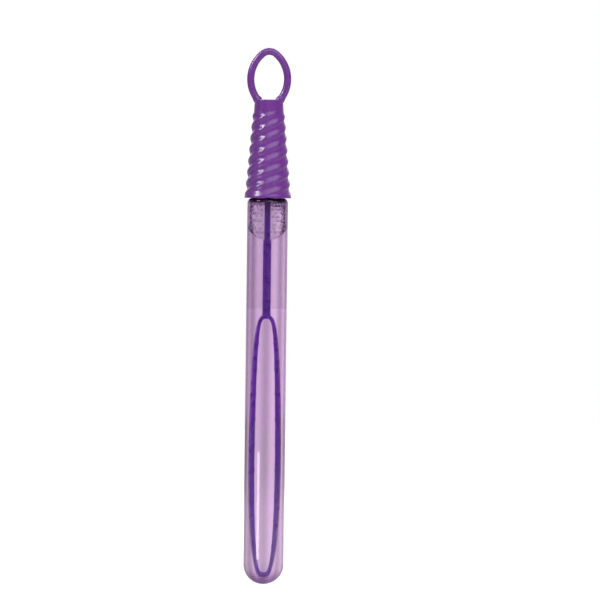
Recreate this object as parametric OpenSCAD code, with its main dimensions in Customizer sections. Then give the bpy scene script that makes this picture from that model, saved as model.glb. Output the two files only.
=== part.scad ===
// Bubble wand: a clear round-bottomed tube of bubble solution, closed by a screw cap
// that is also the handle, with a long loop wand hanging from the cap into the tube.
// Upright on +Z, with the origin at the lowest point of the tube's round bottom.
// The loop, its ridges and the hang ring lie in the XZ plane.

/* [Tube] */
// Outside diameter of the tube
tube_d = 27.7; // [24:0.1:34]
// Height from the round bottom to the rim of the neck
tube_h = 277; // [230:1:320]
// Wall of the tube
tube_wall = 0.9; // [0.6:0.1:1.6]
// Thickness of the round bottom at its lowest point
base_t = 2; // [1:0.1:3]
// Height of the rounded shoulder under the neck
shoulder_h = 3; // [2:0.5:6]
// Height of the neck above the shoulder
neck_h = 12.9; // [10:0.1:16]
// Clear width through the neck, which the loop has to pass
neck_bore_d = 18.6; // [18:0.1:20]
// Wall of the neck
neck_wall = 1.3; // [1:0.1:1.6]
// Room beside the neck for its screw thread
thread_depth = 1.05; // [0.8:0.05:1.3]
// Radial play between the thread and the cap
thread_play = 0.25; // [0.15:0.05:0.4]

/* [Clear label] */
// Height of the wrap-round film
label_h = 70.5; // [40:0.5:90]
// Distance from the film's top edge down from the end of the straight wall
label_drop = 2; // [1:0.5:10]
// Thickness of the film
label_t = 0.12; // [0.08:0.01:0.16]

/* [Cap and grip] */
// Height of the cap from its foot to its flat top
cap_h = 67.2; // [60:0.1:80]
// Diameter of the rim at the foot, and of the ridge crests there
rim_d = 31.8; // [31:0.1:36]
// Height of the plain band at the rim
rim_band_h = 1; // [0.6:0.1:2]
// Height over which the rim flares out of the grip
rim_flare_h = 3; // [2:0.5:5]
// Diameter over the ridge crests where the ridges start to fade
grip_top_d = 22.4; // [21:0.1:24]
// Diameter of the flat top
cap_top_d = 19.3; // [18.4:0.1:20.4]
// Height of the plain stretch under the flat top
plain_top_h = 7.8; // [6:0.1:12]
// Height over which the ridges fade into the plain stretch
ridge_fade_h = 4; // [3:0.5:6]
// Number of ridges that wind round the grip side by side
ridge_count = 4; // [3:1:6]
// Height in which one ridge winds once round the grip
ridge_lead = 31; // [26:0.1:40]
// Angle of the first ridge at the foot of the cap
ridge_phase = 63; // [0:1:90]
// Depth of the hollows between ridges, as a share of the radius
hollow_depth_share = 0.075; // [0.05:0.005:0.1]
// Thickness of the cap's flat top
cap_top_t = 3.6; // [3:0.1:5]
// Least wall beside the cored inside at its top
core_wall = 2.2; // [1.8:0.1:2.6]
// Thickness of the ribs that tie the socket to the wall
rib_t = 1.2; // [0.8:0.1:2]
// Width of the ledge that bears on the wand's sealing disc
ledge_w = 1; // [0.6:0.1:1.4]

/* [Hang ring] */
// Outside width of the ring
ring_w = 30.2; // [26:0.1:32]
// Radius of the two long side arcs, along the middle of the rod
ring_side_r = 22.7; // [21:0.1:26]
// Radius of the small arc that joins them at the top
ring_top_r = 7.2; // [4:0.1:9]
// Height of the ring's widest place above the flat top
ring_wide_h = 14.2; // [12.5:0.1:16]
// Diameter of the ring's round rod
ring_rod_d = 5; // [4:0.1:5.6]

/* [Wand] */
// Outside width of the loop
loop_w = 16.1; // [14:0.1:16.6]
// Outside length of the loop
loop_l = 177.2; // [140:0.1:190]
// Height of the loop's lower end above the tube's lowest point
loop_foot_z = 6.9; // [4:0.1:20]
// Thickness of the loop's rim, seen from the front
rim_t = 2.5; // [1.6:0.1:2.8]
// Depth of the loop's rim, from front to back
loop_depth = 5; // [4.6:0.1:5.6]
// Fullness of the loop's outline: 1 is an ellipse, and less is fuller
loop_fullness = 0.56; // [0.5:0.02:1]
// How much fuller the outline is below the loop's middle than above it
loop_belly = 0.08; // [0:0.01:0.15]
// Distance between the cross ridges on the rim
cross_pitch = 17.3; // [14:0.1:24]
// Number of cross ridges above and below the loop's middle
cross_pairs = 4; // [2:1:4]
// Height of each cross ridge, seen from the side
cross_t = 0.9; // [0.6:0.1:1.4]
// How far a cross ridge stands out of the rim's inner face
cross_proud = 0.35; // [0.2:0.05:0.5]
// How far a cross ridge stands out in front of and behind the rim
cross_side = 0.4; // [0.2:0.05:0.5]
// Width and depth of the square stem
stem_w = 4.1; // [3.6:0.1:4.4]
// Thickness of the two flanges of the stem
stem_flange_t = 1.1; // [0.9:0.1:1.4]
// Thickness of the web between the flanges
stem_web_t = 1.4; // [1:0.1:2]
// Diameter of the sealing disc at the top of the stem
disc_d = 21.8; // [21.2:0.1:22.4]
// Thickness of the sealing disc
disc_t = 1.6; // [1.2:0.1:2.4]
// Diameter of the peg that the cap turns on
peg_d = 6; // [5.2:0.1:6.8]
// Length of the peg
peg_h = 18; // [12:0.5:30]
// How far the peg's snap bead stands proud
bead_proud = 0.25; // [0.15:0.05:0.35]

/* [Seal washer] */
// Thickness of the soft washer on the neck's rim
washer_t = 0.7; // [0.6:0.1:2]
// Diameter of the washer's hole
washer_hole_d = 6.4; // [6.3:0.1:7]

/* [Hidden] */
$fn = 96;
cut = 1;
// Clearances
peg_play = 0.05;
bearing_gap = 0.05;
foot_gap = 0.1;
film_gap = 0.02;
// Tube
tube_r = tube_d / 2;
tube_in_r = tube_r - tube_wall;
neck_bore_r = neck_bore_d / 2;
neck_r = neck_bore_r + neck_wall;
neck_foot_z = tube_h - neck_h;
wall_top_z = neck_foot_z - shoulder_h;
bottom_steps = 14;
shoulder_steps = 6;
// Washer and wand
disc_r = disc_d / 2;
peg_r = peg_d / 2;
disc_z = tube_h + washer_t;
peg_z = disc_z + disc_t;
loop_top_z = loop_foot_z + loop_l;
loop_mid_z = loop_foot_z + loop_l / 2;
outline_steps = 15;
bead_share = 0.7;
bead_h = 1.2;
peg_lead_in = 0.6;
// Cap
cap_z = neck_foot_z + foot_gap;
cap_top_z = cap_z + cap_h;
ledge_z = peg_z + bearing_gap;
cap_bore_r = neck_r + thread_depth + thread_play;
rim_r = rim_d / 2;
cap_top_r = cap_top_d / 2;
ridge_top_h = cap_h - plain_top_h;
fade_h = ridge_top_h - ridge_fade_h;
grip_top_r = grip_top_d / 2;
hollow_r = grip_top_r * (1 - hollow_depth_share);
socket_r = peg_r + peg_play;
boss_wall = 1.6;
boss_r = socket_r + boss_wall;
core_foot_r = disc_r - ledge_w;
core_top_r = cap_top_r - core_wall;
core_top_z = cap_top_z - cap_top_t;
socket_air = 0.6;
lobe_steps = 10;
ridge_steps = 56;
crest_power = 1.36;
// Hang ring
rod_r = ring_rod_d / 2;
ring_wide_z = cap_top_z + ring_wide_h;
ring_root = 2.2;
ring_side_offset = ring_side_r - (ring_w / 2 - rod_r);
side_turn = acos(ring_side_offset / (ring_side_r - ring_top_r));
root_turn = asin((ring_wide_h + ring_root) / ring_side_r);
rod_sides = 16;
side_steps = 17;
top_steps = 9;

// Points along an elliptical arc about c, with radii rx and ry, from angle a to angle b
function arc(c, rx, ry, a, b, steps) =
    [for (i = [0:steps]) let (t = a + (b - a) * i / steps) c + [rx * cos(t), ry * sin(t)]];

// Share of its full width that a long oval has at height u, which runs from -1 to 1
function width_share(u) =
    pow(max(1 - u * u, 0), loop_fullness / 2) * (1 - loop_belly * u * (1 - u * u));

// Closed outline of a long pointed oval, width w and length l
function long_oval(w, l) =
    [for (side = [1, -1], i = [1:2 * outline_steps])
        let (u = side * sin((i / outline_steps - 1) * 90))
        [side * w / 2 * width_share(u), l / 2 * u]];

// How far a point of the grip's outline stands out of the hollow: 1 on a crest, 0 in a hollow
function rise(a) = pow((1 + cos(ridge_count * a)) / 2, crest_power);

// Radius over the crests, and of the plain cone between them, at height h above the cap's foot
function crest_r(h) = rim_r + (grip_top_r - rim_r) * min(h / fade_h, 1);
function plain_r(h) = hollow_r + (cap_top_r - hollow_r) * (h - fade_h) / (cap_h - fade_h);

// Radius of the grip: ridges that fade out under the plain top, and the flared rim at the foot
function grip_r(h, a) =
    let (full = min(max((ridge_top_h - h) / ridge_fade_h, 0), 1),
         ridged = crest_r(h) * (1 - hollow_depth_share * (1 - rise(a))),
         flare = rim_r * (1 - hollow_depth_share * (h - rim_band_h) / rim_flare_h))
    max(plain_r(h) + (ridged - plain_r(h)) * full, min(flare, rim_r));

// Heights of the rings of points on the grip, from its foot to its flat top
grip_levels = concat(
    [0], [for (i = [0:ridge_steps]) rim_band_h + (ridge_top_h - rim_band_h) * i / ridge_steps],
    [cap_h]);

// Faces of a tube of point rings with a flat end at each side
function tube_faces(rings, sides) = concat(
    [[for (j = [0:sides - 1]) j]],
    [for (i = [0:rings - 2], j = [0:sides - 1], half = [0, 1])
        let (k = (j + 1) % sides, low = i * sides, high = low + sides)
        half == 0 ? [low + j, high + j, high + k] : [low + j, high + k, low + k]],
    [[for (j = [0:sides - 1]) rings * sides - 1 - j]]);

// Normal angle and centre of each cross-section of the ring: an arc about c from angle a to angle b
function bend(c, r, a, b, steps) =
    [for (i = [1:steps]) let (t = a + (b - a) * (i - 0.5) / steps)
        [t, c + r / cos((b - a) / steps / 2) * [cos(t), sin(t)]]];

// Half width of the loop's inner face at a height above or below its middle
function inner_half_w(h) = (loop_w / 2 - rim_t) * width_share(h / (loop_l / 2 - rim_t));

// Peg outline, widened by play: plain shank, snap bead and tapered tip
function peg_outline(play, extra) =
    let (bead_z = peg_h * bead_share, r = peg_r + play)
    [[0, -extra], [r, -extra], [r, bead_z - bead_h / 2], [r + bead_proud, bead_z],
     [r, bead_z + bead_h / 2], [r, peg_h - peg_lead_in + play], [r - peg_lead_in, peg_h + play],
     [0, peg_h + play]];

// Clear one-piece tube: round bottom, straight wall, rounded shoulder and open neck
module tube() {
    color([0.84, 0.74, 0.90, 0.4])
    rotate_extrude()
    polygon(concat(
        arc([0, tube_r], tube_r, tube_r, -90, 0, bottom_steps),
        arc([neck_r, wall_top_z], tube_r - neck_r, shoulder_h, 0, 90, shoulder_steps),
        [[neck_r, tube_h], [neck_bore_r, tube_h]],
        arc([neck_bore_r, wall_top_z], tube_in_r - neck_bore_r, shoulder_h - tube_wall,
            90, 0, shoulder_steps),
        arc([0, tube_r], tube_in_r, tube_r - base_t, 0, -90, bottom_steps)
    ));
}

// Clear film wrapped round the upper part of the tube
module label_film() {
    inner_r = tube_r + film_gap;
    color([0.93, 0.92, 0.95, 0.3])
    translate([0, 0, wall_top_z - label_drop - label_h])
    difference() {
        cylinder(h = label_h, r = inner_r + label_t);
        translate([0, 0, -cut]) cylinder(h = label_h + 2 * cut, r = inner_r);
    }
}

// Soft washer that lies on the neck's rim, with the stem through its hole
module seal_washer() {
    color([0.93, 0.93, 0.90])
    translate([0, 0, tube_h])
    difference() {
        cylinder(h = washer_t, r = neck_r);
        translate([0, 0, -cut]) cylinder(h = washer_t + 2 * cut, d = washer_hole_d);
    }
}

// The long loop with its cross ridges, in the XZ plane
module loop() {
    translate([0, loop_depth / 2, loop_mid_z]) rotate([90, 0, 0])
    linear_extrude(loop_depth)
    difference() {
        polygon(long_oval(loop_w, loop_l));
        polygon(long_oval(loop_w - 2 * rim_t, loop_l - 2 * rim_t));
    }
    for (side = [-1, 1], n = [-cross_pairs:cross_pairs])
        translate([side * (inner_half_w(n * cross_pitch) - cross_proud + rim_t / 4), 0,
                   loop_mid_z + n * cross_pitch])
        cube([rim_t / 2, loop_depth + 2 * cross_side, cross_t], center = true);
}

// Stem of H section, open to the front and the back
module stem() {
    stem_foot_z = loop_top_z - rim_t / 2;
    recess = (stem_w - stem_web_t) / 2;
    translate([0, 0, stem_foot_z])
    linear_extrude(disc_z - stem_foot_z + disc_t / 2)
    difference() {
        square(stem_w, center = true);
        for (side = [-1, 1])
            translate([0, side * (stem_w / 2 - recess / 2 + cut / 2)])
            square([stem_w - 2 * stem_flange_t, recess + cut], center = true);
    }
}

// One-piece wand: loop, stem, sealing disc, and the peg with its snap bead
module wand() {
    color([0.36, 0.16, 0.52]) {
        loop();
        stem();
        translate([0, 0, disc_z]) cylinder(h = disc_t, r = disc_r);
        translate([0, 0, peg_z]) rotate_extrude() polygon(peg_outline(0, disc_t / 2));
    }
}

// Outside of the grip, drawn through rings of points that turn with the ridges
module grip() {
    sides = ridge_count * lobe_steps;
    translate([0, 0, cap_z])
    polyhedron(
        [for (h = grip_levels, j = [0:sides - 1])
            let (a = j * 360 / sides, turn = ridge_phase + 360 * min(h, ridge_top_h) / ridge_lead)
            [grip_r(h, a) * cos(a + turn), grip_r(h, a) * sin(a + turn), h]],
        tube_faces(len(grip_levels), sides));
}

// Hang ring: two long side arcs that lean in to a small arc at the top, all of round rod
module hang_ring() {
    side_c = [-ring_side_offset, ring_wide_z];
    top_c = [0, ring_wide_z + ring_side_offset * tan(side_turn)];
    right = bend(side_c, ring_side_r, -root_turn, side_turn, side_steps);
    top = bend(top_c, ring_top_r, side_turn, 180 - side_turn, top_steps);
    left = bend([ring_side_offset, ring_wide_z], ring_side_r,
                180 - side_turn, 180 + root_turn, side_steps);
    sections = concat(right, top, left);
    polyhedron(
        [for (section = sections, j = [0:rod_sides - 1])
            let (out = rod_r * cos(j * 360 / rod_sides), x = section[1][0], z = section[1][1])
            [x + out * cos(section[0]), rod_r * sin(j * 360 / rod_sides),
             z + out * sin(section[0])]],
        tube_faces(len(sections), rod_sides));
}

// Cored inside of the cap above the ledge, left solid at the socket and its four ribs
module cap_core() {
    difference() {
        translate([0, 0, ledge_z])
        cylinder(h = core_top_z - ledge_z, r1 = core_foot_r, r2 = core_top_r);
        translate([0, 0, ledge_z - cut])
        cylinder(h = core_top_z - ledge_z + 2 * cut, r = boss_r);
        for (turn = [0, 90]) rotate(turn)
            translate([-core_foot_r, -rib_t / 2, ledge_z + disc_t])
            cube([2 * core_foot_r, rib_t, core_top_z - ledge_z]);
    }
}

// Screw cap, grip, socket and hang ring in one moulding
module screw_cap() {
    color([0.45, 0.22, 0.60])
    difference() {
        union() {
            grip();
            hang_ring();
        }
        translate([0, 0, cap_z - cut]) cylinder(h = ledge_z - cap_z + cut, r = cap_bore_r);
        cap_core();
        translate([0, 0, peg_z])
        rotate_extrude() polygon(concat(peg_outline(peg_play, cut), [[0, peg_h + socket_air]]));
    }
}

tube();
label_film();
seal_washer();
wand();
screw_cap();
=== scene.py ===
"""Bubble wand: tinted tube of solution, screw cap with a wound grip and a ring, and a loop wand."""
import math

import bmesh
import bpy
import numpy as np
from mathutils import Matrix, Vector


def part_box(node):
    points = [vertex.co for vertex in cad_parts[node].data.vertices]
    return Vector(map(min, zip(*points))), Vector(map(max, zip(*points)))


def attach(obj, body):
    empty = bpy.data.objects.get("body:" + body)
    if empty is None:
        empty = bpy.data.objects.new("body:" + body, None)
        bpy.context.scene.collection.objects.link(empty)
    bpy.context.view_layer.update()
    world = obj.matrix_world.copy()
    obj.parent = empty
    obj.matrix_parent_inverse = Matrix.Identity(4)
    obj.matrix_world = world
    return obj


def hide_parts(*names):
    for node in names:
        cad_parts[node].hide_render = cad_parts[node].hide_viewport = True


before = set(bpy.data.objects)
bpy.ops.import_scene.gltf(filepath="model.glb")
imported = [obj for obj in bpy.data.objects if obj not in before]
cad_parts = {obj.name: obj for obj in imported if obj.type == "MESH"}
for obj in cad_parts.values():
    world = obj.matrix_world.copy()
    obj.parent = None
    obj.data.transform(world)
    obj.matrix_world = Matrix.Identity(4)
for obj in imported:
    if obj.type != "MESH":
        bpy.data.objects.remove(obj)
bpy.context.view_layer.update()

MM = 0.001
TURN = 2 * math.pi

# Mesh making: points and radii this close are the same, faces that meet at more degrees than this keep
# a sharp edge, and a small rounded edge has this many steps
MERGE_WITHIN = 1e-7
SAME_WITHIN = 1e-6
SHARP = 40
THIN_SHARP = 30
GRIP_SHARP = 50
EDGE_STEPS = 5

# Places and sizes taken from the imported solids, in metres
TUBE_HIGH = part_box("tube")[1]
FILM_LOW, FILM_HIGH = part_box("label_film")
WASHER_LOW, WASHER_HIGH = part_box("seal_washer")
WAND_LOW, WAND_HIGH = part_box("wand")
CAP_LOW, CAP_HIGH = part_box("screw_cap")
TUBE_R = TUBE_HIGH.x
RIM_R = CAP_HIGH.x
DISC_R = WAND_HIGH.x
FILM_R = FILM_HIGH.x
WASHER_R = WASHER_HIGH.x

# Tube. Inside, the shoulder is a nearly flat step, so that a thick tinted ring stands above it
TUBE_WALL = 0.9 * MM
SHOULDER_H = 3 * MM
SHOULDER_STEP = 0.3 * MM
BASE_T = 2 * MM
NECK_H = 12.9 * MM
NECK_BORE_R = 9.3 * MM
NECK_R = NECK_BORE_R + 1.3 * MM
NECK_LIP_R = 0.35 * MM
TUBE_IN_R = TUBE_R - TUBE_WALL
NECK_FOOT_Z = TUBE_HIGH.z - NECK_H
WALL_TOP_Z = NECK_FOOT_Z - SHOULDER_H
TUBE_SIDES = 192
BOTTOM_STEPS = 40
TUBE_WALL_STEPS = 24
SHOULDER_STEPS = 14
NECK_LIP_STEPS = 6

# Screw thread, the same helix on the neck and in the cap
THREAD_PITCH = 3 * MM
THREAD_DEPTH = 1.05 * MM
THREAD_PLAY = 0.25 * MM
THREAD_START_Z = NECK_FOOT_Z + 2.6 * MM
THREAD_TURNS = 2.4
THREAD_ROW = 0.15 * MM
THREAD_FLAT = 0.35
THREAD_STEEP = 1.2
THREAD_FADE = 0.1

# Cap and grip
CAP_H = 67.2 * MM
CAP_TOP_Z = CAP_LOW.z + CAP_H
CAP_TOP_R = 9.65 * MM
GRIP_TOP_R = 11.2 * MM
PLAIN_TOP_H = 7.8 * MM
RIDGE_FADE_H = 4 * MM
RIDGE_COUNT = 4
RIDGE_LEAD = 31 * MM
RIDGE_PHASE = math.radians(63)
HOLLOW_DEPTH_SHARE = 0.075
CREST_POWER = 1.36
RIM_BAND_H = 1 * MM
RIM_FLARE_H = 3 * MM
RIM_BLEND = 0.25 * MM
RIM_EDGE_R = 0.3 * MM
TOP_EDGE_R = 0.6 * MM
CAP_BORE_R = NECK_R + THREAD_DEPTH + THREAD_PLAY
LEDGE_Z = 279.35 * MM
CORE_FOOT_R = DISC_R - 1 * MM
CORE_TOP_R = CAP_TOP_R - 2.2 * MM
CORE_TOP_Z = CAP_TOP_Z - 3.6 * MM
GRIP_SIDES = 240
GRIP_ROWS = 210
PLAIN_TOP_ROWS = 8
FLAT_TOP_STEPS = 2
TOP_EDGE_STEPS = 6

# Hang ring
RING_W = 30.2 * MM
RING_ROD_R = 2.5 * MM
RING_SIDE_R = 22.7 * MM
RING_TOP_R = 7.2 * MM
RING_WIDE_H = 14.2 * MM
RING_ROOT = 2.2 * MM
RING_FILLET_H = 2.6 * MM
RING_FILLET_SHARE = 0.22
SEAM_PROUD = 0.02 * MM
SEAM_SPREAD = 0.12
RING_SIDE_STEPS = 60
RING_TOP_STEPS = 40
RING_ROD_SIDES = 40

# Wand
LOOP_W = 16.1 * MM
LOOP_L = 177.2 * MM
LOOP_RIM_T = 2.5 * MM
LOOP_DEPTH = 5 * MM
LOOP_FULLNESS = 0.56
LOOP_BELLY = 0.08
LOOP_EDGE_R = 0.45 * MM
LOOP_COLUMNS = 260
LOOP_MID_Z = WAND_LOW.z + LOOP_L / 2
CROSS_PITCH = 17.3 * MM
CROSS_PAIRS = 4
CROSS_T = 0.9 * MM
CROSS_PROUD = 0.35 * MM
CROSS_SIDE = 0.4 * MM
CROSS_FLAT = 1.35
CROSS_STEEP = 0.85
CROSS_ROOM = 1.1
CROSS_REACH = 1.3
CROSS_FALL = 1.6
CROSS_COLUMNS = 19
STEM_W = 4.1 * MM
STEM_FLANGE_T = 1.1 * MM
STEM_WEB_T = 1.4 * MM
STEM_EDGE_R = 0.22 * MM
STEM_ROOT_SHARE = 0.7
STEM_EDGE_STEPS = 4
STEM_ROWS = 12
DISC_Z = WASHER_HIGH.z
DISC_T = 1.6 * MM
DISC_EDGE_R = 0.3 * MM
DISC_SIDES = 128
PEG_R = 3 * MM
PEG_H = 18 * MM
PEG_PLAY = 0.05 * MM
BEAD_PROUD = 0.25 * MM
BEAD_H = 1.2 * MM
BEAD_SHARE = 0.7
BEAD_ROWS = 9
PEG_LEAD_IN = 0.6 * MM
SOCKET_AIR = 0.6 * MM
BOSS_WALL = 1.6 * MM

# Washer and film
WASHER_HOLE_R = 3.2 * MM
WASHER_EDGE_R = 0.2 * MM
WASHER_SIDES = 96
FILM_T = 0.055 * MM
FILM_LAP = 7 * MM
FILM_AIR = 0.002 * MM
FILM_STEP_TURN = 0.02
FILM_SEAM_TURN = math.radians(110)
FILM_COLUMNS = 260

# Bubble solution, a hair into the wall that it wets, and the air bubble that lies against the front wall
SOAK = 0.12 * MM
FILL_TOP_Z = 276.8 * MM
SOLUTION_WALL_STEPS = 40
AIR_R = 12.7 * MM
AIR_BACK_Y = 4.5 * MM
AIR_MID_Y = -4 * MM
AIR_END_Z = 235.3 * MM
AIR_END_L = 12 * MM
AIR_SLOPE_L = 21 * MM
AIR_ROUNDING = 5
AIR_TOP_Z = 261 * MM
AIR_LEAST_SINE = 0.02
AIR_END_ROWS = 48
AIR_SLOPE_ROWS = 20
AIR_TOP_ROWS = 6
AIR_SIDES = 160

# Drops on the wall beside the bubble: their net, their sizes in mm, their shape and how far they sink in
DROP_ROWS = 8
DROP_COLUMNS = 5
DROP_START = math.radians(13)
DROP_END = math.radians(62)
DROP_FOOT_ROOM = 4 * MM
DROP_TOP_ROOM = 0.5 * MM
DROP_SMALL = 0.35
DROP_LARGE = 1.05
DROP_TALL = 1.2
DROP_FLAT = 0.75
DROP_SINK = 0.05 * MM
DROP_RINGS = 9
DROP_SIDES = 14
DROP_SEED = 7

# Clear plastics' tints: the colour that is left, and how much is taken per metre
PET_TINT = "#BD59C5"
PET_TINT_PER_M = 480.0
SOLUTION_TINT = "#E1BCE7"
SOLUTION_TINT_PER_M = 6.0

# Surface patterns, counted along a millimetre: flow marks 5.6 mm wide, and moulded grain 0.4 mm and
# foam cells 0.3 mm wide, both drawn coarser than they are so that they show; the depth of the relief,
# and the change in gloss along a flow mark
FLOW_MARKS_PER_MM = 0.18
GRAINS_PER_MM = 2.6
FOAM_CELLS_PER_MM = 3.0
RELIEF_DEPTH = 0.05 * MM
GLOSS_CHANGE = 0.04

# Surround: its level on matt faces, and the tones that mirror faces see in front and behind, with the Y
# of the direction at which the one gives way to the other
WHITE = "#FFFFFF"
WORLD_LIGHT = 0.22
MIRROR_FRONT = "#9069A6"
MIRROR_BACK = "#D3BCDD"
MIRROR_FROM = -0.2
MIRROR_TO = 0.9

# Surround as clear pieces show it: level, upright bands, the tone between its four white sides, the
# fall from left to right, and the tone and level steeply up and down, with the Z at which they come in
GLASS_GAIN = 1.3
BAND_COUNT = 16
BAND_TURN = math.radians(11.25)
BAND_DEPTH = 0.4
WHITE_SIDES = 4
SIDE_TONE = "#EFF3EB"
SIDE_SLOPE = 0.3
HIGH_TONE = "#A281B5"
HIGH_FROM = 0.06
HIGH_TO = 0.5
LOW_LEVEL = 0.8
LOW_FROM = -0.15
LOW_TO = -0.8

# Floor: its own tone, the painted shade round the foot that clear pieces show, the height from which they
# see it, and the glow that keeps it as pale as the backdrop far from the lamps
BOARD_HALF = 6.0
BOARD_TONE = "#E7E7E7"
FOOT_SHADE = 0.55
FOOT_NEAR = 4 * MM
FOOT_FAR = 45 * MM
FOOT_LOOK_Z = 30 * MM
GLOW_NEAR = 0.1
GLOW_FAR = 1.5
GLOW_LEAST = 0.6

# Point that the large lamps face
MIDDLE = (0, 0, 0.2)

# Camera: the photo's frame and scale, the tube's foot and a point of its axis in it, and the lean
PHOTO_PX = 600
PX = 0.684 * MM
FOOT_PX_Y = 583.8
AXIS_PX_X = 265.8
AXIS_PX_Y = 320
LEAN = math.radians(0.683)
CAMERA_DISTANCE = 5
SENSOR_MM = 36


def rgb(code):
    """Linear colour of an sRGB hex code."""
    parts = [int(code[i:i + 2], 16) / 255 for i in (1, 3, 5)]
    linear = [c / 12.92 if c <= 0.04045 else ((c + 0.055) / 1.055) ** 2.4 for c in parts]
    return (*linear, 1)


def add(tree, kind, inputs=None, **settings):
    """Adds a node, gives it its settings, and links or sets each of its inputs."""
    made = tree.nodes.new(kind)
    for name, value in settings.items():
        setattr(made, name, value)
    for name, value in (inputs or {}).items():
        if isinstance(value, bpy.types.NodeSocket):
            tree.links.new(value, made.inputs[name])
        else:
            made.inputs[name].default_value = value
    return made


def material(name):
    """An empty node material and its output."""
    made = bpy.data.materials.new(name)
    made.use_nodes = True
    made.node_tree.nodes.clear()
    return made, made.node_tree, add(made.node_tree, "ShaderNodeOutputMaterial")


def smooth(x):
    """Smooth step from 0 at 0 to 1 at 1."""
    x = np.clip(x, 0, 1)
    return x * x * (3 - 2 * x)


def arc(centre, rx, ry, start, end, steps):
    """Points on an elliptical arc: centre plus (rx cos t, ry sin t), t in degrees from start to end."""
    t = np.radians(np.linspace(start, end, steps + 1))
    return np.stack([centre[0] + rx * np.cos(t), centre[1] + ry * np.sin(t)], 1)


def line(a, b, steps):
    """Points from a to b in equal steps, without b."""
    t = np.linspace(0, 1, steps, endpoint=False)[:, None]
    return np.array(a) * (1 - t) + np.array(b) * t


def join_profile(*stretches):
    """One profile from several stretches of (radius, height) points."""
    return np.concatenate([np.asarray(s, float).reshape(-1, 2) for s in stretches])


def mesh_piece(name, vertices, faces, finish, sharp=SHARP):
    """A mesh object from points and faces, tidied, with its finish."""
    mesh = bpy.data.meshes.new(name)
    mesh.from_pydata(vertices, [], faces)
    piece = bpy.data.objects.new(name, mesh)
    bpy.context.scene.collection.objects.link(piece)
    tidy_mesh(piece, sharp)
    if finish is not None:
        mesh.materials.append(finish)
    return piece


def tidy_mesh(piece, sharp, turn_out=True):
    """Merges doubled points, turns faces outwards if asked, and marks the edges sharper than an angle."""
    work = bmesh.new()
    work.from_mesh(piece.data)
    bmesh.ops.remove_doubles(work, verts=work.verts, dist=MERGE_WITHIN)
    bmesh.ops.dissolve_degenerate(work, edges=work.edges, dist=MERGE_WITHIN)
    if turn_out:
        bmesh.ops.recalc_face_normals(work, faces=work.faces)
    work.to_mesh(piece.data)
    work.free()
    piece.data.shade_smooth()
    piece.data.set_sharp_from_angle(angle=math.radians(sharp))


def grid_faces(rows, cols, wrap_rows=False):
    """Four-sided faces between neighbours of a grid whose columns close into a ring."""
    last = rows if wrap_rows else rows - 1
    i, j = np.meshgrid(np.arange(last), np.arange(cols), indexing="ij")
    nxt, right = (i + 1) % rows, (j + 1) % cols
    quads = np.stack([i * cols + j, i * cols + right, nxt * cols + right, nxt * cols + j], -1)
    return quads.reshape(-1, 4)


def grid_piece(name, points, finish, wrap_rows=False, ends=False, sharp=SHARP):
    """A mesh from a (rows, columns, 3) grid; ends closes the first and last row with one face each."""
    rows, cols = points.shape[:2]
    faces = grid_faces(rows, cols, wrap_rows).tolist()
    if ends:
        faces.append(list(range(cols)))
        faces.append(list(range((rows - 1) * cols, rows * cols)))
    return mesh_piece(name, points.reshape(-1, 3), faces, finish, sharp)


def revolved(profile, sides, radius_at=None):
    """Grid of a profile of (r, z) turned about Z; radius_at(r, z, turn) may change a point's radius."""
    turn = np.linspace(0, TURN, sides, endpoint=False)[None, :]
    r = np.repeat(profile[:, :1], sides, 1)
    z = np.repeat(profile[:, 1:], sides, 1)
    turn = np.repeat(turn, len(profile), 0)
    if radius_at is not None:
        r = radius_at(r, z, turn)
    return np.stack([r * np.cos(turn), r * np.sin(turn), z], -1)


def fuse(name, parts, finish, sharp=SHARP, hollows=()):
    """One closed piece from overlapping closed parts, less the hollows."""
    body = parts[0]
    for other in (*hollows, *parts[1:]):
        cut = body.modifiers.new("join", "BOOLEAN")
        cut.operation = "DIFFERENCE" if other in hollows else "UNION"
        cut.solver = "MANIFOLD"
        cut.object = other
    bpy.context.view_layer.update()
    done = bpy.data.meshes.new_from_object(body.evaluated_get(bpy.context.evaluated_depsgraph_get()))
    for part in (*parts, *hollows):
        bpy.data.objects.remove(part)
    done.name = name
    piece = bpy.data.objects.new(name, done)
    bpy.context.scene.collection.objects.link(piece)
    done.materials.clear()
    done.materials.append(finish)
    tidy_mesh(piece, sharp, turn_out=False)
    return piece


def thread_height(z, turn, start_z, turns, shift=0.0):
    """Height of a screw thread, from 0 to 1, at height z and angle turn.

    A crest of flat-topped cosine shape stands wherever z is start_z plus the pitch times the turn, and
    fades in and out over twice THREAD_FADE of a turn at its ends.
    """
    along = (z - start_z) / THREAD_PITCH - turn / TURN + shift
    crest = np.clip(THREAD_FLAT + THREAD_STEEP * np.cos(TURN * along), 0, 1)
    wound = np.round(along) + turn / TURN
    fade_in = smooth((wound + THREAD_FADE) / (2 * THREAD_FADE))
    fade_out = smooth((turns + THREAD_FADE - wound) / (2 * THREAD_FADE))
    return smooth(crest) * fade_in * fade_out


# Finishes

def tinted_pet():
    """PET, blow moulded and tinted in the mass: clear and glossy, and darker seen along the wall."""
    made, tree, out = material("tinted_pet_blow_moulded")
    shell = add(tree, "ShaderNodeBsdfPrincipled", {
        "Base Color": rgb(WHITE), "Roughness": 0.0, "IOR": 1.57, "Transmission Weight": 1.0})
    tint = add(tree, "ShaderNodeVolumeAbsorption", {"Color": rgb(PET_TINT), "Density": PET_TINT_PER_M})
    tree.links.new(shell.outputs[0], out.inputs["Surface"])
    tree.links.new(tint.outputs[0], out.inputs["Volume"])
    return made


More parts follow.
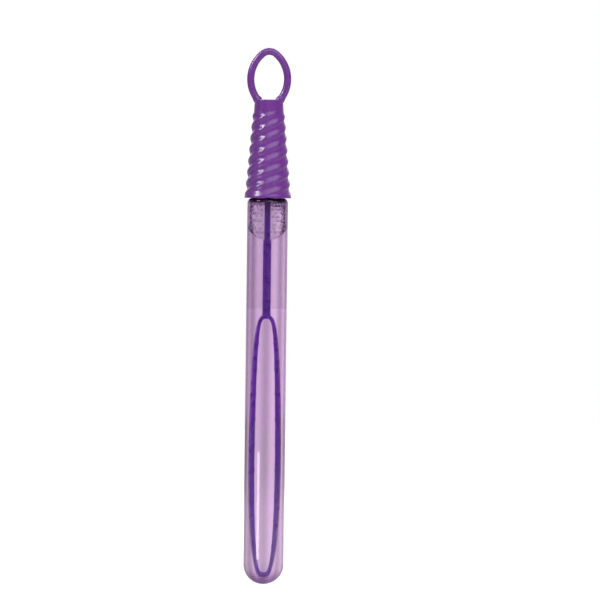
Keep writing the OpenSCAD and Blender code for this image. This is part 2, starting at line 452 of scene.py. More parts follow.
def soap_solution():
    """Soapy water: clear, with the faintest lilac cast in its depth."""
    made, tree, out = material("soap_solution")
    shell = add(tree, "ShaderNodeBsdfPrincipled", {
        "Base Color": rgb(WHITE), "Roughness": 0.0, "IOR": 1.33, "Transmission Weight": 1.0})
    tint = add(tree, "ShaderNodeVolumeAbsorption", {
        "Color": rgb(SOLUTION_TINT), "Density": SOLUTION_TINT_PER_M})
    tree.links.new(shell.outputs[0], out.inputs["Surface"])
    tree.links.new(tint.outputs[0], out.inputs["Volume"])
    return made


def moulded_polypropylene(name, colour, dark, roughness):
    """Polypropylene, injection moulded and coloured in the mass: satin, with faint flow marks."""
    made, tree, out = material(name)
    place = add(tree, "ShaderNodeTexCoord").outputs["Object"]
    flow = add(tree, "ShaderNodeTexNoise", {
        "Vector": place, "Scale": FLOW_MARKS_PER_MM / MM, "Detail": 3.0})
    grain = add(tree, "ShaderNodeTexNoise", {
        "Vector": place, "Scale": GRAINS_PER_MM / MM, "Detail": 2.0})
    tone = add(tree, "ShaderNodeMix", {
        "Factor": flow.outputs["Fac"], "A": rgb(dark), "B": rgb(colour)}, data_type="RGBA")
    gloss = add(tree, "ShaderNodeMapRange", {
        "Value": flow.outputs["Fac"], "To Min": roughness - GLOSS_CHANGE,
        "To Max": roughness + GLOSS_CHANGE})
    relief = add(tree, "ShaderNodeBump", {
        "Height": grain.outputs["Fac"], "Strength": 0.12, "Distance": RELIEF_DEPTH})
    body = add(tree, "ShaderNodeBsdfPrincipled", {
        "Base Color": tone.outputs["Result"], "Roughness": gloss.outputs["Result"], "IOR": 1.49,
        "Normal": relief.outputs["Normal"]})
    tree.links.new(body.outputs[0], out.inputs["Surface"])
    return made


def foamed_sheet():
    """Foamed polyethylene sheet, die cut: off-white and dull, with fine cells."""
    made, tree, out = material("foamed_polyethylene")
    place = add(tree, "ShaderNodeTexCoord").outputs["Object"]
    cells = add(tree, "ShaderNodeTexVoronoi", {"Vector": place, "Scale": FOAM_CELLS_PER_MM / MM})
    relief = add(tree, "ShaderNodeBump", {
        "Height": cells.outputs["Distance"], "Strength": 0.3, "Distance": RELIEF_DEPTH})
    body = add(tree, "ShaderNodeBsdfPrincipled", {
        "Base Color": rgb("#E9E7DF"), "Roughness": 0.7, "IOR": 1.5, "Normal": relief.outputs["Normal"]})
    tree.links.new(body.outputs[0], out.inputs["Surface"])
    return made


def wrap_film_finish():
    """Oriented polypropylene film: clear and thin, with a faint tone that shows its edges."""
    made, tree, out = material("clear_polypropylene_film")
    body = add(tree, "ShaderNodeBsdfPrincipled", {
        "Base Color": rgb("#5A4B63"), "Roughness": 0.1, "IOR": 1.49, "Alpha": 0.03})
    tree.links.new(body.outputs[0], out.inputs["Surface"])
    return made


def white_floor():
    """Matt white board: it keeps a soft shadow, and clear pieces show it as they show the surround, with
    a painted shade round the foot.
    """
    made, tree, out = material("white_board")
    paths = add(tree, "ShaderNodeLightPath").outputs
    place = add(tree, "ShaderNodeNewGeometry").outputs["Position"]
    away = add(tree, "ShaderNodeVectorMath", {0: place}, operation="LENGTH").outputs["Value"]
    # Painted shade: seen through clear pieces, the board's glow is dimmed near the foot
    shade = add(tree, "ShaderNodeMapRange", {
        "Value": away, "From Min": FOOT_NEAR, "From Max": FOOT_FAR, "To Min": FOOT_SHADE, "To Max": 1.0},
        interpolation_type="SMOOTHSTEP").outputs["Result"]
    board = add(tree, "ShaderNodeBsdfDiffuse", {"Color": rgb(BOARD_TONE)})
    rise = add(tree, "ShaderNodeMapRange", {
        "Value": away, "From Min": GLOW_NEAR, "From Max": GLOW_FAR, "To Min": GLOW_LEAST,
        "To Max": 1.0}).outputs["Result"]
    glow = add(tree, "ShaderNodeEmission", {"Color": rgb(WHITE), "Strength": rise})
    glowing = add(tree, "ShaderNodeAddShader", {0: board.outputs[0], 1: glow.outputs[0]})
    from_tube = add(tree, "ShaderNodeVectorMath", {0: place, 1: (0, 0, FOOT_LOOK_Z)},
                    operation="SUBTRACT")
    outward = add(tree, "ShaderNodeVectorMath", {0: from_tube.outputs["Vector"]}, operation="NORMALIZE")
    in_glass = add(tree, "ShaderNodeEmission", {
        "Color": surround_tone(tree, outward.outputs["Vector"]), "Strength": shade})
    bare = add(tree, "ShaderNodeMixShader", {
        0: paths["Is Camera Ray"], 1: board.outputs[0], 2: glowing.outputs[0]})
    shown = add(tree, "ShaderNodeMixShader", {
        0: seen_through(tree, paths), 1: bare.outputs[0], 2: in_glass.outputs[0]})
    tree.links.new(shown.outputs[0], out.inputs["Surface"])
    return made


def surround_tone(tree, way):
    """Colour that clear pieces show of the white surround in a direction.

    Its hue is white straight ahead, behind and to the two sides, toned between them, and darker steeply
    up. Its level has soft upright bands, falls from left to right, and is lower steeply down.
    """
    parts = add(tree, "ShaderNodeSeparateXYZ", {0: way}).outputs
    turn = add(tree, "ShaderNodeMath", {0: parts["X"], 1: parts["Y"]}, operation="ARCTAN2").outputs[0]
    sides = repeated(tree, turn, WHITE_SIDES)
    between = add(tree, "ShaderNodeMapRange", {
        "Value": sides, "From Min": 1.0, "From Max": -1.0}).outputs["Result"]
    level_hue = add(tree, "ShaderNodeMix", {
        "Factor": between, "A": rgb(WHITE), "B": rgb(SIDE_TONE)}, data_type="RGBA").outputs["Result"]
    upward = add(tree, "ShaderNodeMapRange", {
        "Value": parts["Z"], "From Min": HIGH_FROM, "From Max": HIGH_TO},
        interpolation_type="SMOOTHSTEP").outputs["Result"]
    hue = add(tree, "ShaderNodeMix", {
        "Factor": upward, "A": level_hue, "B": rgb(HIGH_TONE)}, data_type="RGBA").outputs["Result"]
    from_band = add(tree, "ShaderNodeMath", {0: turn, 1: BAND_TURN}, operation="SUBTRACT").outputs[0]
    bands = add(tree, "ShaderNodeMapRange", {
        "Value": repeated(tree, from_band, BAND_COUNT), "From Min": -1.0, "To Min": 1 - BAND_DEPTH,
        "To Max": 1.0}).outputs["Result"]
    rise = add(tree, "ShaderNodeMapRange", {
        "Value": parts["Z"], "From Min": LOW_FROM, "From Max": LOW_TO, "To Min": GLASS_GAIN,
        "To Max": LOW_LEVEL}, interpolation_type="SMOOTHSTEP").outputs["Result"]
    slope = add(tree, "ShaderNodeMath", {0: parts["X"], 1: -SIDE_SLOPE, 2: 1.0},
                operation="MULTIPLY_ADD").outputs[0]
    sloped = add(tree, "ShaderNodeMath", {0: slope, 1: rise}, operation="MULTIPLY").outputs[0]
    level = add(tree, "ShaderNodeMath", {0: bands, 1: sloped}, operation="MULTIPLY").outputs[0]
    return add(tree, "ShaderNodeVectorMath", {0: hue, "Scale": level},
               operation="SCALE").outputs["Vector"]


def repeated(tree, turn, count):
    """Cosine of a turn that comes round count times."""
    wound = add(tree, "ShaderNodeMath", {0: turn, 1: float(count)}, operation="MULTIPLY").outputs[0]
    return add(tree, "ShaderNodeMath", {0: wound}, operation="COSINE").outputs[0]


def seen_through(tree, paths):
    """1 for a ray from the camera that has passed clear pieces, and met no mirror or matt face."""
    bounces = add(tree, "ShaderNodeMath", {0: paths["Glossy Depth"], 1: paths["Diffuse Depth"]},
                  operation="ADD").outputs[0]
    straight = add(tree, "ShaderNodeMath", {0: bounces, 1: 0.5}, operation="LESS_THAN").outputs[0]
    return add(tree, "ShaderNodeMath", {0: paths["Is Transmission Ray"], 1: straight},
               operation="MULTIPLY").outputs[0]


PET = tinted_pet()
SOLUTION = soap_solution()
CAP_PLASTIC = moulded_polypropylene("polypropylene_grip", "#7A3A9B", "#6E328C", 0.27)
WAND_PLASTIC = moulded_polypropylene("polypropylene_wand", "#5C249B", "#4E1E8B", 0.28)
FOAM = foamed_sheet()
FILM = wrap_film_finish()


# Pieces

def make_tube():
    """Bottle profile turned about Z: round bottom, wall, rounded shoulder, threaded neck, back inside.

    Inside, the profile steps out almost flat under the shoulder, which makes the shoulder a thick ring.
    """
    lip_out = (NECK_R - NECK_LIP_R, TUBE_HIGH.z - NECK_LIP_R)
    lip_in = (NECK_BORE_R + NECK_LIP_R, TUBE_HIGH.z - NECK_LIP_R)
    neck_rows = round((lip_out[1] - NECK_FOOT_Z) / THREAD_ROW)
    profile = join_profile(
        arc((0, TUBE_R), TUBE_R, TUBE_R, -90, 0, BOTTOM_STEPS),
        line((TUBE_R, TUBE_R), (TUBE_R, WALL_TOP_Z), TUBE_WALL_STEPS)[1:],
        arc((NECK_R, WALL_TOP_Z), TUBE_R - NECK_R, SHOULDER_H, 0, 90, SHOULDER_STEPS),
        line((NECK_R, NECK_FOOT_Z), (NECK_R, lip_out[1]), neck_rows)[1:],
        arc(lip_out, NECK_LIP_R, NECK_LIP_R, 0, 90, NECK_LIP_STEPS),
        arc(lip_in, NECK_LIP_R, NECK_LIP_R, 90, 180, NECK_LIP_STEPS),
        arc((NECK_BORE_R, WALL_TOP_Z), TUBE_IN_R - NECK_BORE_R, SHOULDER_STEP, 90, 0, SHOULDER_STEPS),
        line((TUBE_IN_R, WALL_TOP_Z), (TUBE_IN_R, TUBE_R), TUBE_WALL_STEPS)[1:],
        arc((0, TUBE_R), TUBE_IN_R, TUBE_R - BASE_T, 0, -90, BOTTOM_STEPS))

    def with_thread(r, z, turn):
        on_neck = (np.abs(r - NECK_R) < SAME_WITHIN) & (z > NECK_FOOT_Z)
        return r + on_neck * THREAD_DEPTH * thread_height(z, turn, THREAD_START_Z, THREAD_TURNS)

    return grid_piece("clear_tube", revolved(profile, TUBE_SIDES, with_thread), PET)


def make_film():
    """Thin strip wound once round the tube, with its end lapped over its start.

    Its radius is even for one turn, less a little, and then steps out by the strip's own thickness.
    """
    inner_r = FILM_R - 2 * (FILM_T + FILM_AIR)
    lap_turn = FILM_LAP / FILM_R
    turn = np.linspace(0, TURN + lap_turn, FILM_COLUMNS)
    step = smooth((turn - TURN + FILM_STEP_TURN) / (2 * FILM_STEP_TURN)) * (FILM_T + FILM_AIR)
    z = np.array([FILM_LOW.z, FILM_LOW.z, FILM_HIGH.z, FILM_HIGH.z])
    out = np.array([0, FILM_T, FILM_T, 0])
    r = inner_r + step[:, None] + out[None, :]
    a = (turn + FILM_SEAM_TURN)[:, None]
    points = np.stack([r * np.cos(a), r * np.sin(a), np.repeat(z[None, :], len(turn), 0)], -1)
    return grid_piece("wrap_film", points, FILM, ends=True, sharp=THIN_SHARP)


def make_washer():
    """Flat ring with rounded edges, turned about Z."""
    low, high = WASHER_LOW.z, WASHER_HIGH.z
    e = WASHER_EDGE_R
    profile = join_profile(
        arc((WASHER_R - e, low + e), e, e, -90, 0, EDGE_STEPS),
        arc((WASHER_R - e, high - e), e, e, 0, 90, EDGE_STEPS),
        arc((WASHER_HOLE_R + e, high - e), e, e, 90, 180, EDGE_STEPS),
        arc((WASHER_HOLE_R + e, low + e), e, e, 180, 270, EDGE_STEPS))
    return grid_piece("foam_washer", revolved(profile, WASHER_SIDES), FOAM, wrap_rows=True)


def cross_ridge(z):
    """Height of the wand's cross ridges, from 0 to 1, at height z: rounded bars at an even pitch.

    It is a smooth step of CROSS_FLAT, less CROSS_STEEP for each half thickness away from the nearest bar.
    """
    off = z - LOOP_MID_Z
    nearest = np.clip(np.round(off / CROSS_PITCH), -CROSS_PAIRS, CROSS_PAIRS) * CROSS_PITCH
    return smooth(CROSS_FLAT - np.abs(off - nearest) / (CROSS_T / 2) * CROSS_STEEP)


def make_loop():
    """Rounded strip carried round a long pointed oval that is fuller below its middle.

    At height u from -1 to 1 the oval's half width is (1 - u^2) to half the fullness, times
    1 - belly u (1 - u^2). Across the rim the strip runs from the inner to the outer oval, and its inner
    half swells at each cross ridge.
    """
    t = np.linspace(-math.pi / 2, math.pi / 2, LOOP_COLUMNS)
    even_z = np.sign(t) * np.sqrt(1 - np.cos(t) ** (2 / LOOP_FULLNESS))
    close = np.linspace(-CROSS_ROOM, CROSS_ROOM, CROSS_COLUMNS) * CROSS_T
    near = np.concatenate([n * CROSS_PITCH + close for n in range(-CROSS_PAIRS, CROSS_PAIRS + 1)])
    height = np.unique(np.concatenate([even_z, near / (LOOP_L / 2)]))
    bulge = np.clip(1 - height ** 2, 0, 1)
    share = bulge ** (LOOP_FULLNESS / 2) * (1 - LOOP_BELLY * height * bulge)
    right = np.stack([share, height], 1)
    left = np.stack([-share, height], 1)[::-1][1:-1]
    outline = np.concatenate([right, left])
    e = LOOP_EDGE_R
    half = LOOP_DEPTH / 2
    section = join_profile(
        arc((LOOP_RIM_T - e, half - e), e, e, 0, 90, EDGE_STEPS),
        arc((e, half - e), e, e, 90, 180, EDGE_STEPS),
        arc((e, -half + e), e, e, 180, 270, EDGE_STEPS),
        arc((LOOP_RIM_T - e, -half + e), e, e, 270, 360, EDGE_STEPS))
    across = (section[:, 0] / LOOP_RIM_T)[None, :, None]
    outer = outline * [LOOP_W / 2, LOOP_L / 2]
    inner = outline * [LOOP_W / 2 - LOOP_RIM_T, LOOP_L / 2 - LOOP_RIM_T]
    place = inner[:, None, :] * (1 - across) + outer[:, None, :] * across
    swell = cross_ridge(place[..., 1] + LOOP_MID_Z) * smooth(CROSS_REACH - CROSS_FALL * across[..., 0])
    x = place[..., 0] - np.sign(place[..., 0]) * CROSS_PROUD * swell * (1 - across[..., 0])
    y = section[None, :, 1] * (1 + CROSS_SIDE / half * swell)
    return grid_piece("loop", np.stack([x, y, place[..., 1] + LOOP_MID_Z], -1), None, wrap_rows=True)


def make_stem():
    """H outline with rounded corners, drawn straight up from inside the loop's rim into the disc."""
    e = STEM_EDGE_R
    half, web = STEM_W / 2, STEM_WEB_T / 2
    slot = half - STEM_FLANGE_T
    quarter = join_profile(
        [[half, 0]], arc((half - e, half - e), e, e, 0, 90, STEM_EDGE_STEPS),
        arc((slot + e, half - e), e, e, 90, 180, STEM_EDGE_STEPS),
        arc((slot - e, web + e), e, e, 360, 270, STEM_EDGE_STEPS), [[0, web]])
    mirrored = quarter[::-1][1:] * [-1, 1]
    top = np.concatenate([quarter, mirrored])
    outline = np.concatenate([top, top[::-1][1:-1] * [1, -1]])
    root_z = WAND_LOW.z + LOOP_L - LOOP_RIM_T * STEM_ROOT_SHARE
    z = np.linspace(root_z, DISC_Z + DISC_T / 2, STEM_ROWS)
    points = np.concatenate([np.repeat(outline[None], len(z), 0),
                             np.repeat(z[:, None, None], len(outline), 1)], -1)
    return grid_piece("stem", points, None, ends=True)


def peg_profile(play, foot_z):
    """Peg outline grown by play: plain shank, snap bead and tapered tip, up to the axis."""
    bead_z = PEG_H * BEAD_SHARE
    r = PEG_R + play
    foot = DISC_Z + DISC_T
    bead = BEAD_PROUD * np.cos(np.linspace(-math.pi / 2, math.pi / 2, BEAD_ROWS))
    rise = np.linspace(bead_z - BEAD_H / 2, bead_z + BEAD_H / 2, BEAD_ROWS)
    return join_profile(
        [[r, foot_z]], np.stack([r + bead, foot + rise], 1),
        [[r, foot + PEG_H - PEG_LEAD_IN + play], [r - PEG_LEAD_IN, foot + PEG_H + play]])


def make_disc():
    """Sealing disc with rounded edges and the peg on it, turned about Z."""
    e = DISC_EDGE_R
    top = DISC_Z + DISC_T
    profile = join_profile(
        [[0, DISC_Z]], arc((DISC_R - e, DISC_Z + e), e, e, -90, 0, EDGE_STEPS),
        arc((DISC_R - e, top - e), e, e, 0, 90, EDGE_STEPS), peg_profile(0, top), [[0, top + PEG_H]])
    return grid_piece("disc", revolved(profile, DISC_SIDES), None)


def rise_of_ridges(turn):
    """1 on a crest and 0 in a hollow: a raised cosine to a power, which narrows the crests."""
    return ((1 + np.cos(RIDGE_COUNT * turn)) / 2) ** CREST_POWER


def make_grip():
    """Cap surface in one grid, from the flat top down the wound grip, round the rim and up inside.

    The columns of the outside turn with the ridges. The radius at height h and angle a runs along a
    cone through the crests, less the hollow's share away from each crest. It fades to a plain cone
    under the top, and is never less than the flared rim at the foot. Inside come the bore with its
    thread, the ledge, the cored hollow, the boss and the peg's socket.
    """
    ridge_top_h = CAP_H - PLAIN_TOP_H
    fade_h = ridge_top_h - RIDGE_FADE_H
    hollow_r = GRIP_TOP_R * (1 - HOLLOW_DEPTH_SHARE)
    a = np.linspace(0, TURN, GRIP_SIDES, endpoint=False)[None, :]
    plain_h = np.linspace(CAP_H - TOP_EDGE_R, ridge_top_h, PLAIN_TOP_ROWS, endpoint=False)
    h = np.concatenate([plain_h, np.linspace(ridge_top_h, RIM_EDGE_R, GRIP_ROWS)])[:, None]
    crest = RIM_R + (GRIP_TOP_R - RIM_R) * np.minimum(h / fade_h, 1)
    plain = hollow_r + (CAP_TOP_R - hollow_r) * (h - fade_h) / (CAP_H - fade_h)
    full = smooth((ridge_top_h - h) / RIDGE_FADE_H)
    ridged = crest * (1 - HOLLOW_DEPTH_SHARE * (1 - rise_of_ridges(a)))
    flare = RIM_R * (1 - HOLLOW_DEPTH_SHARE * (h - RIM_BAND_H) / RIM_FLARE_H)
    body = plain + (ridged - plain) * full
    r = np.minimum((body + flare + np.sqrt((body - flare) ** 2 + RIM_BLEND ** 2)) / 2, RIM_R)
    twist = RIDGE_PHASE + TURN * np.minimum(h, ridge_top_h) / RIDGE_LEAD
    outside = np.stack([r * np.cos(a + twist), r * np.sin(a + twist), h + 0 * a + CAP_LOW.z], -1)

    edge_r = CAP_TOP_R - TOP_EDGE_R
    top = join_profile(
        [[0, CAP_TOP_Z]], line((CAP_TOP_R / 2, CAP_TOP_Z), (edge_r, CAP_TOP_Z), FLAT_TOP_STEPS),
        arc((edge_r, CAP_TOP_Z - TOP_EDGE_R), TOP_EDGE_R, TOP_EDGE_R, 90, 0, TOP_EDGE_STEPS))
    foot_z = CAP_LOW.z
    bore_rows = round((LEDGE_Z - foot_z) / THREAD_ROW)
    socket = peg_profile(PEG_PLAY, LEDGE_Z)
    inside = join_profile(
        arc((RIM_R - RIM_EDGE_R, foot_z + RIM_EDGE_R), RIM_EDGE_R, RIM_EDGE_R, 0, -90, EDGE_STEPS),
        [[CAP_BORE_R + RIM_EDGE_R, foot_z]],
        line((CAP_BORE_R, foot_z + RIM_EDGE_R), (CAP_BORE_R, LEDGE_Z), bore_rows),
        [[CAP_BORE_R, LEDGE_Z], [CORE_FOOT_R, LEDGE_Z], [CORE_TOP_R, CORE_TOP_Z],
         [PEG_R + PEG_PLAY + BOSS_WALL, CORE_TOP_Z], [PEG_R + PEG_PLAY + BOSS_WALL, LEDGE_Z]],
        socket, [[0, DISC_Z + DISC_T + PEG_H + SOCKET_AIR]])

    def with_thread(radius, z, turn):
        on_bore = np.abs(radius - CAP_BORE_R) < SAME_WITHIN
        turn = np.mod(turn + RIDGE_PHASE, TURN)
        height = thread_height(z, turn, THREAD_START_Z, THREAD_TURNS, shift=0.5)
        return radius - on_bore * THREAD_DEPTH * height

    def turned(profile, by, radius_at=None):
        grid = revolved(profile, GRIP_SIDES, radius_at)
        x, y, z = grid[..., 0], grid[..., 1], grid[..., 2]
        cos, sin = math.cos(by), math.sin(by)
        return np.stack([x * cos - y * sin, x * sin + y * cos, z], -1)

    rows = np.concatenate([turned(top, twist[0, 0]), outside, turned(inside, RIDGE_PHASE, with_thread)])
    return grid_piece("grip", rows, None, sharp=GRIP_SHARP)


def make_ring():
    """Round rod on a path of three arcs, swollen towards its two roots, with a faint mould seam.

    Each section lies at angle t of its arc, at the arc's centre plus its radius along t. The rod's
    radius grows by the fillet's share near the roots, and by the seam's height where it faces in or out.
    """
    wide_z = CAP_TOP_Z + RING_WIDE_H
    offset = RING_SIDE_R - (RING_W / 2 - RING_ROD_R)
    meet = math.degrees(math.acos(offset / (RING_SIDE_R - RING_TOP_R)))
    root = math.degrees(math.asin((RING_WIDE_H + RING_ROOT) / RING_SIDE_R))
    top_z = wide_z + offset * math.tan(math.radians(meet))
    arcs = [((-offset, wide_z), RING_SIDE_R, -root, meet, RING_SIDE_STEPS),
            ((0, top_z), RING_TOP_R, meet, 180 - meet, RING_TOP_STEPS),
            ((offset, wide_z), RING_SIDE_R, 180 - meet, 180 + root, RING_SIDE_STEPS)]
    centres = np.concatenate([arc(centre, r, r, start, end, steps)[min(k, 1):]
                              for k, (centre, r, start, end, steps) in enumerate(arcs)])
    normals = np.radians(np.concatenate([np.linspace(start, end, steps + 1)[min(k, 1):]
                                         for k, (_, _, start, end, steps) in enumerate(arcs)]))[:, None]
    b = np.linspace(0, TURN, RING_ROD_SIDES, endpoint=False)[None, :]
    above = centres[:, 1:] - CAP_TOP_Z
    at_root = (1 - smooth(above / RING_FILLET_H)) * (1 - smooth(-above / RING_ROOT))
    swell = 1 + RING_FILLET_SHARE * at_root
    seam = SEAM_PROUD * np.exp(-(np.sin(b) / SEAM_SPREAD) ** 2)
    rod = RING_ROD_R * swell + seam - SEAM_PROUD
    x = centres[:, :1] + rod * np.cos(b) * np.cos(normals)
    z = centres[:, 1:] + rod * np.cos(b) * np.sin(normals)
    return grid_piece("ring", np.stack([x, rod * np.sin(b), z], -1), None, ends=True)


def make_air_bubble():
    """Long air bubble against the front wall, with a flat back, rounded edges and a round lower end.

    Round its own middle line a section's radius at angle a is the p-norm blend of the distances to the
    wall's circle and to the flat back. Towards the lower end its width shrinks by sqrt(1 - u^2), where u
    runs from 0 to 1 over the end's length, and its depth behind the wall by the same rule over a longer
    slope.
    """
    t = np.linspace(0, math.pi / 2, AIR_END_ROWS)
    slope_z = np.linspace(AIR_END_Z + AIR_END_L, AIR_END_Z + AIR_SLOPE_L, AIR_SLOPE_ROWS)[1:]
    z = np.concatenate([AIR_END_Z + AIR_END_L * (1 - np.cos(t)), slope_z,
                        np.linspace(slope_z[-1], AIR_TOP_Z, AIR_TOP_ROWS)[1:]])[:, None]
    rise = z - AIR_END_Z
    width_share = np.sqrt(1 - np.clip(1 - rise / AIR_END_L, 0, 1) ** 2)
    depth_share = np.sqrt(1 - np.clip(1 - rise / AIR_SLOPE_L, 0, 1) ** 2)
    a = np.linspace(0, TURN, AIR_SIDES, endpoint=False)[None, :]
    sine = np.sin(a)
    to_wall = -AIR_MID_Y * sine + np.sqrt((AIR_MID_Y * sine) ** 2 + AIR_R ** 2 - AIR_MID_Y ** 2)
    to_back = (AIR_BACK_Y - AIR_MID_Y) / np.maximum(sine, AIR_LEAST_SINE)
    reach = (to_wall ** -AIR_ROUNDING + to_back ** -AIR_ROUNDING) ** (-1 / AIR_ROUNDING)
    x, y = reach * np.cos(a), AIR_MID_Y + reach * sine
    depth = y + np.sqrt(np.maximum(AIR_R ** 2 - x ** 2, 0))
    x = x * width_share
    y = depth * depth_share - np.sqrt(AIR_R ** 2 - x ** 2)
    return grid_piece("air_bubble", np.stack([x, y, z + 0 * a], -1), None, ends=True)


def make_drops():
    """Drops that cling to the wall beside the air bubble: flattened balls, one in each cell of a net.

    The net has a field on each side of the bubble, and its odd rows are shifted by half a cell. Each
    ball's point at angles u and v is its place plus its size times (sin u cos v, sin u sin v, cos u),
    with the depth flattened and the height stretched. Sizes and places in the cells are drawn at random
    from a fixed seed.
    """
    chance = np.random.default_rng(DROP_SEED)
    v = np.linspace(0, TURN, DROP_SIDES, endpoint=False)[None, :]
    u = np.linspace(0, math.pi, DROP_RINGS)[:, None]
    side, row, column = [n.ravel() for n in np.indices((2, DROP_ROWS, DROP_COLUMNS))]
    low, high = AIR_END_Z + DROP_FOOT_ROOM, AIR_TOP_Z - DROP_TOP_ROOM
    cell_h = (high - low) / DROP_ROWS
    cell_w = (DROP_END - DROP_START) / DROP_COLUMNS
    size = chance.uniform(DROP_SMALL, DROP_LARGE, row.size) * MM
    turn_room = cell_w / 2 - size / AIR_R
    rise_room = cell_h / 2 - size * DROP_TALL
    cell_turn = DROP_START + (column + 0.25 + 0.5 * (row % 2)) * cell_w
    beside = cell_turn + chance.uniform(-1, 1, row.size) * turn_room
    turn = (2 * side - 1) * beside - math.pi / 2
    middle = low + (row + 0.5) * cell_h + chance.uniform(-1, 1, row.size) * rise_room
    size, turn, middle = [n[:, None, None] for n in (size, turn, middle)]
    across = np.sin(u) * np.cos(v) * size
    out = AIR_R + DROP_SINK + np.sin(u) * np.sin(v) * size * DROP_FLAT
    points = np.stack([out * np.cos(turn) - across * np.sin(turn),
                       out * np.sin(turn) + across * np.cos(turn),
                       middle + np.cos(u) * size * DROP_TALL + 0 * across], -1)
    first = np.arange(row.size)[:, None, None] * u.size * v.size
    faces = (grid_faces(u.size, v.size)[None] + first).reshape(-1, 4)
    return mesh_piece("drops", points.reshape(-1, 3), faces.tolist(), None)


def make_solution():
    """Solution turned about Z, a hair into the wall that it wets, less the bubble, with the drops."""
    wet_r = TUBE_IN_R + SOAK
    neck_r = NECK_BORE_R + SOAK
    profile = join_profile(
        arc((0, TUBE_R), wet_r, TUBE_R - BASE_T + SOAK, -90, 0, BOTTOM_STEPS),
        line((wet_r, TUBE_R), (wet_r, WALL_TOP_Z), SOLUTION_WALL_STEPS)[1:],
        arc((neck_r, WALL_TOP_Z), wet_r - neck_r, SHOULDER_STEP + SOAK, 0, 90, SHOULDER_STEPS),
        [[neck_r, FILL_TOP_Z], [0, FILL_TOP_Z]])
    body = grid_piece("solution_body", revolved(profile, TUBE_SIDES), None)
    return fuse("bubble_solution", [body, make_drops()], SOLUTION, THIN_SHARP, (make_air_bubble(),))


def place(piece, body, slot, *nodes):
    """Gives a piece its body and hides the solids it stands for; the slot is not used."""
    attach(piece, body)
    if nodes:
        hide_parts(*nodes)
    return piece


tube = place(make_tube(), "tube", "tinted_tube", "tube")
film = place(make_film(), "tube", "clear_film", "label_film")
solution = place(make_solution(), "tube", None)
place(make_washer(), "washer", "seal", "seal_washer")
wand = fuse("loop_wand", [make_loop(), make_stem(), make_disc()], WAND_PLASTIC)
place(wand, "wand", "wand_plastic", "wand")
cap = fuse("grip_cap", [make_grip(), make_ring()], CAP_PLASTIC, GRIP_SHARP)
place(cap, "cap", "cap_plastic", "screw_cap")

# The lamps shine through the clear pieces
for clear in (tube, film, solution):
    clear.visible_shadow = False


# Stage

def make_stage():
    """Large white board under the wand."""
    half = BOARD_HALF
    board = mesh_piece("floor", [(-half, -half, 0), (half, -half, 0), (half, half, 0), (-half, half, 0)],
                       [(0, 1, 2, 3)], white_floor())


def make_world():
    """Studio: white to the camera, toned through clear pieces, lilac in mirror faces, dim on matt."""
    world = bpy.data.worlds.new("surround")
    bpy.context.scene.world = world
    world.use_nodes = True
    tree = world.node_tree
    tree.nodes.clear()
    paths = add(tree, "ShaderNodeLightPath").outputs
    way = add(tree, "ShaderNodeTexCoord").outputs["Generated"]

    # Matt faces get the even level, but not by way of a clear piece
    after_matt = add(tree, "ShaderNodeMath", {0: paths["Diffuse Depth"], 1: 0.5},
                     operation="GREATER_THAN").outputs[0]
    by_glass = add(tree, "ShaderNodeMath", {0: paths["Is Transmission Ray"], 1: after_matt},
                   operation="MULTIPLY").outputs[0]
    direct = add(tree, "ShaderNodeMath", {0: 1.0, 1: by_glass}, operation="SUBTRACT").outputs[0]
    even = add(tree, "ShaderNodeMath", {0: direct, 1: WORLD_LIGHT}, operation="MULTIPLY").outputs[0]

    # Mirror faces, and clear pieces that mirror inside, see the two mirror tones
    gleam = add(tree, "ShaderNodeMath", {0: paths["Is Glossy Ray"], 1: paths["Is Transmission Ray"]},
                operation="MAXIMUM").outputs[0]
    before_matt = add(tree, "ShaderNodeMath", {0: 1.0, 1: after_matt}, operation="SUBTRACT").outputs[0]
    mirror = add(tree, "ShaderNodeMath", {0: gleam, 1: before_matt}, operation="MULTIPLY").outputs[0]
    behind = add(tree, "ShaderNodeMapRange", {
        "Value": add(tree, "ShaderNodeSeparateXYZ", {0: way}).outputs["Y"], "From Min": MIRROR_FROM,
        "From Max": MIRROR_TO}, interpolation_type="SMOOTHSTEP").outputs["Result"]
    mirrored = add(tree, "ShaderNodeMix", {
        "Factor": behind, "A": rgb(MIRROR_FRONT), "B": rgb(MIRROR_BACK)},
        data_type="RGBA").outputs["Result"]

    # Each kind of ray takes its own tone, and the camera takes white
    on_pieces = add(tree, "ShaderNodeMix", {
        "Factor": mirror, "A": even, "B": mirrored}, data_type="RGBA").outputs["Result"]
    in_glass = add(tree, "ShaderNodeMix", {
        "Factor": seen_through(tree, paths), "A": on_pieces, "B": surround_tone(tree, way)},
        data_type="RGBA").outputs["Result"]
    tone = add(tree, "ShaderNodeMix", {
        "Factor": paths["Is Camera Ray"], "A": in_glass, "B": rgb(WHITE)},
        data_type="RGBA").outputs["Result"]
    sky = add(tree, "ShaderNodeBackground", {"Color": tone})
    out = add(tree, "ShaderNodeOutputWorld")
    tree.links.new(sky.outputs[0], out.inputs["Surface"])


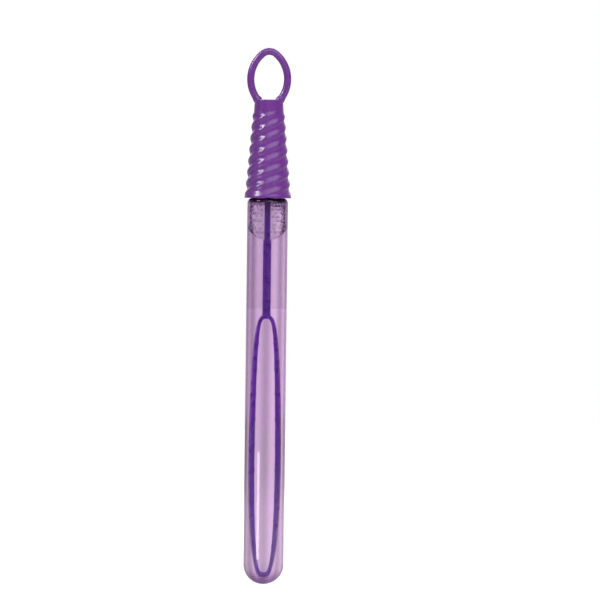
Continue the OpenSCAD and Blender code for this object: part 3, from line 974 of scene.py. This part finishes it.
def make_lamp(name, place_at, aim, size, power, on_matt=True):
    """A soft lamp turned towards a point, unseen through clear pieces; on_matt: it lights matt faces."""
    light = bpy.data.lights.new(name, "AREA")
    light.shape = "RECTANGLE"
    light.size, light.size_y = size
    light.energy = power
    lamp = bpy.data.objects.new(name, light)
    bpy.context.scene.collection.objects.link(lamp)
    lamp.location = place_at
    away = np.array(place_at) - np.array(aim)
    yaw = math.atan2(away[0], -away[1])
    pitch = math.atan2(math.hypot(away[0], away[1]), away[2])
    lamp.rotation_euler = (pitch, 0, yaw)
    lamp.visible_camera = False
    lamp.visible_transmission = False
    lamp.visible_diffuse = on_matt


def make_camera():
    """Level camera with a long lens, at the photo's scale, rolled by the wand's lean in the photo."""
    lens = bpy.data.cameras.new("camera")
    lens.sensor_width = SENSOR_MM
    lens.lens = SENSOR_MM * CAMERA_DISTANCE / (PHOTO_PX * PX)
    camera = bpy.data.objects.new("camera", lens)
    bpy.context.scene.collection.objects.link(camera)
    half = (PHOTO_PX - 1) / 2
    axis_z = (FOOT_PX_Y - AXIS_PX_Y) * PX
    right, up = (half - AXIS_PX_X) * PX, (AXIS_PX_Y - half) * PX
    x = right * math.cos(LEAN) - up * math.sin(LEAN)
    z = axis_z + up * math.cos(LEAN) + right * math.sin(LEAN)
    camera.location = (x, -CAMERA_DISTANCE, z)
    camera.rotation_euler = (math.pi / 2, 0, 0)
    camera.rotation_euler.rotate_axis("Z", LEAN)
    bpy.context.scene.camera = camera


make_stage()
make_world()
# Lamps: the key and the back light the object, the left one gives the grip its row of bright dots, and
# the low one gives the tube its bright streak
make_lamp("key_softbox", place_at=(0.45, -1.5, 1.8), aim=MIDDLE, size=(2.6, 1.9), power=40)
make_lamp("left_softbox", place_at=(-1.43, -0.67, 1.4), aim=(0, 0, 0.3), size=(0.24, 1.0), power=34,
          on_matt=False)
make_lamp("back_softbox", place_at=(0, 1.7, 1.3), aim=MIDDLE, size=(2.0, 1.4), power=30)
make_lamp("low_strip", place_at=(-0.168, -0.249, 0.044), aim=(0, 0, 0.044), size=(0.075, 0.082),
          power=0.12)
make_camera()
bpy.context.scene.view_settings.view_transform = "Standard"
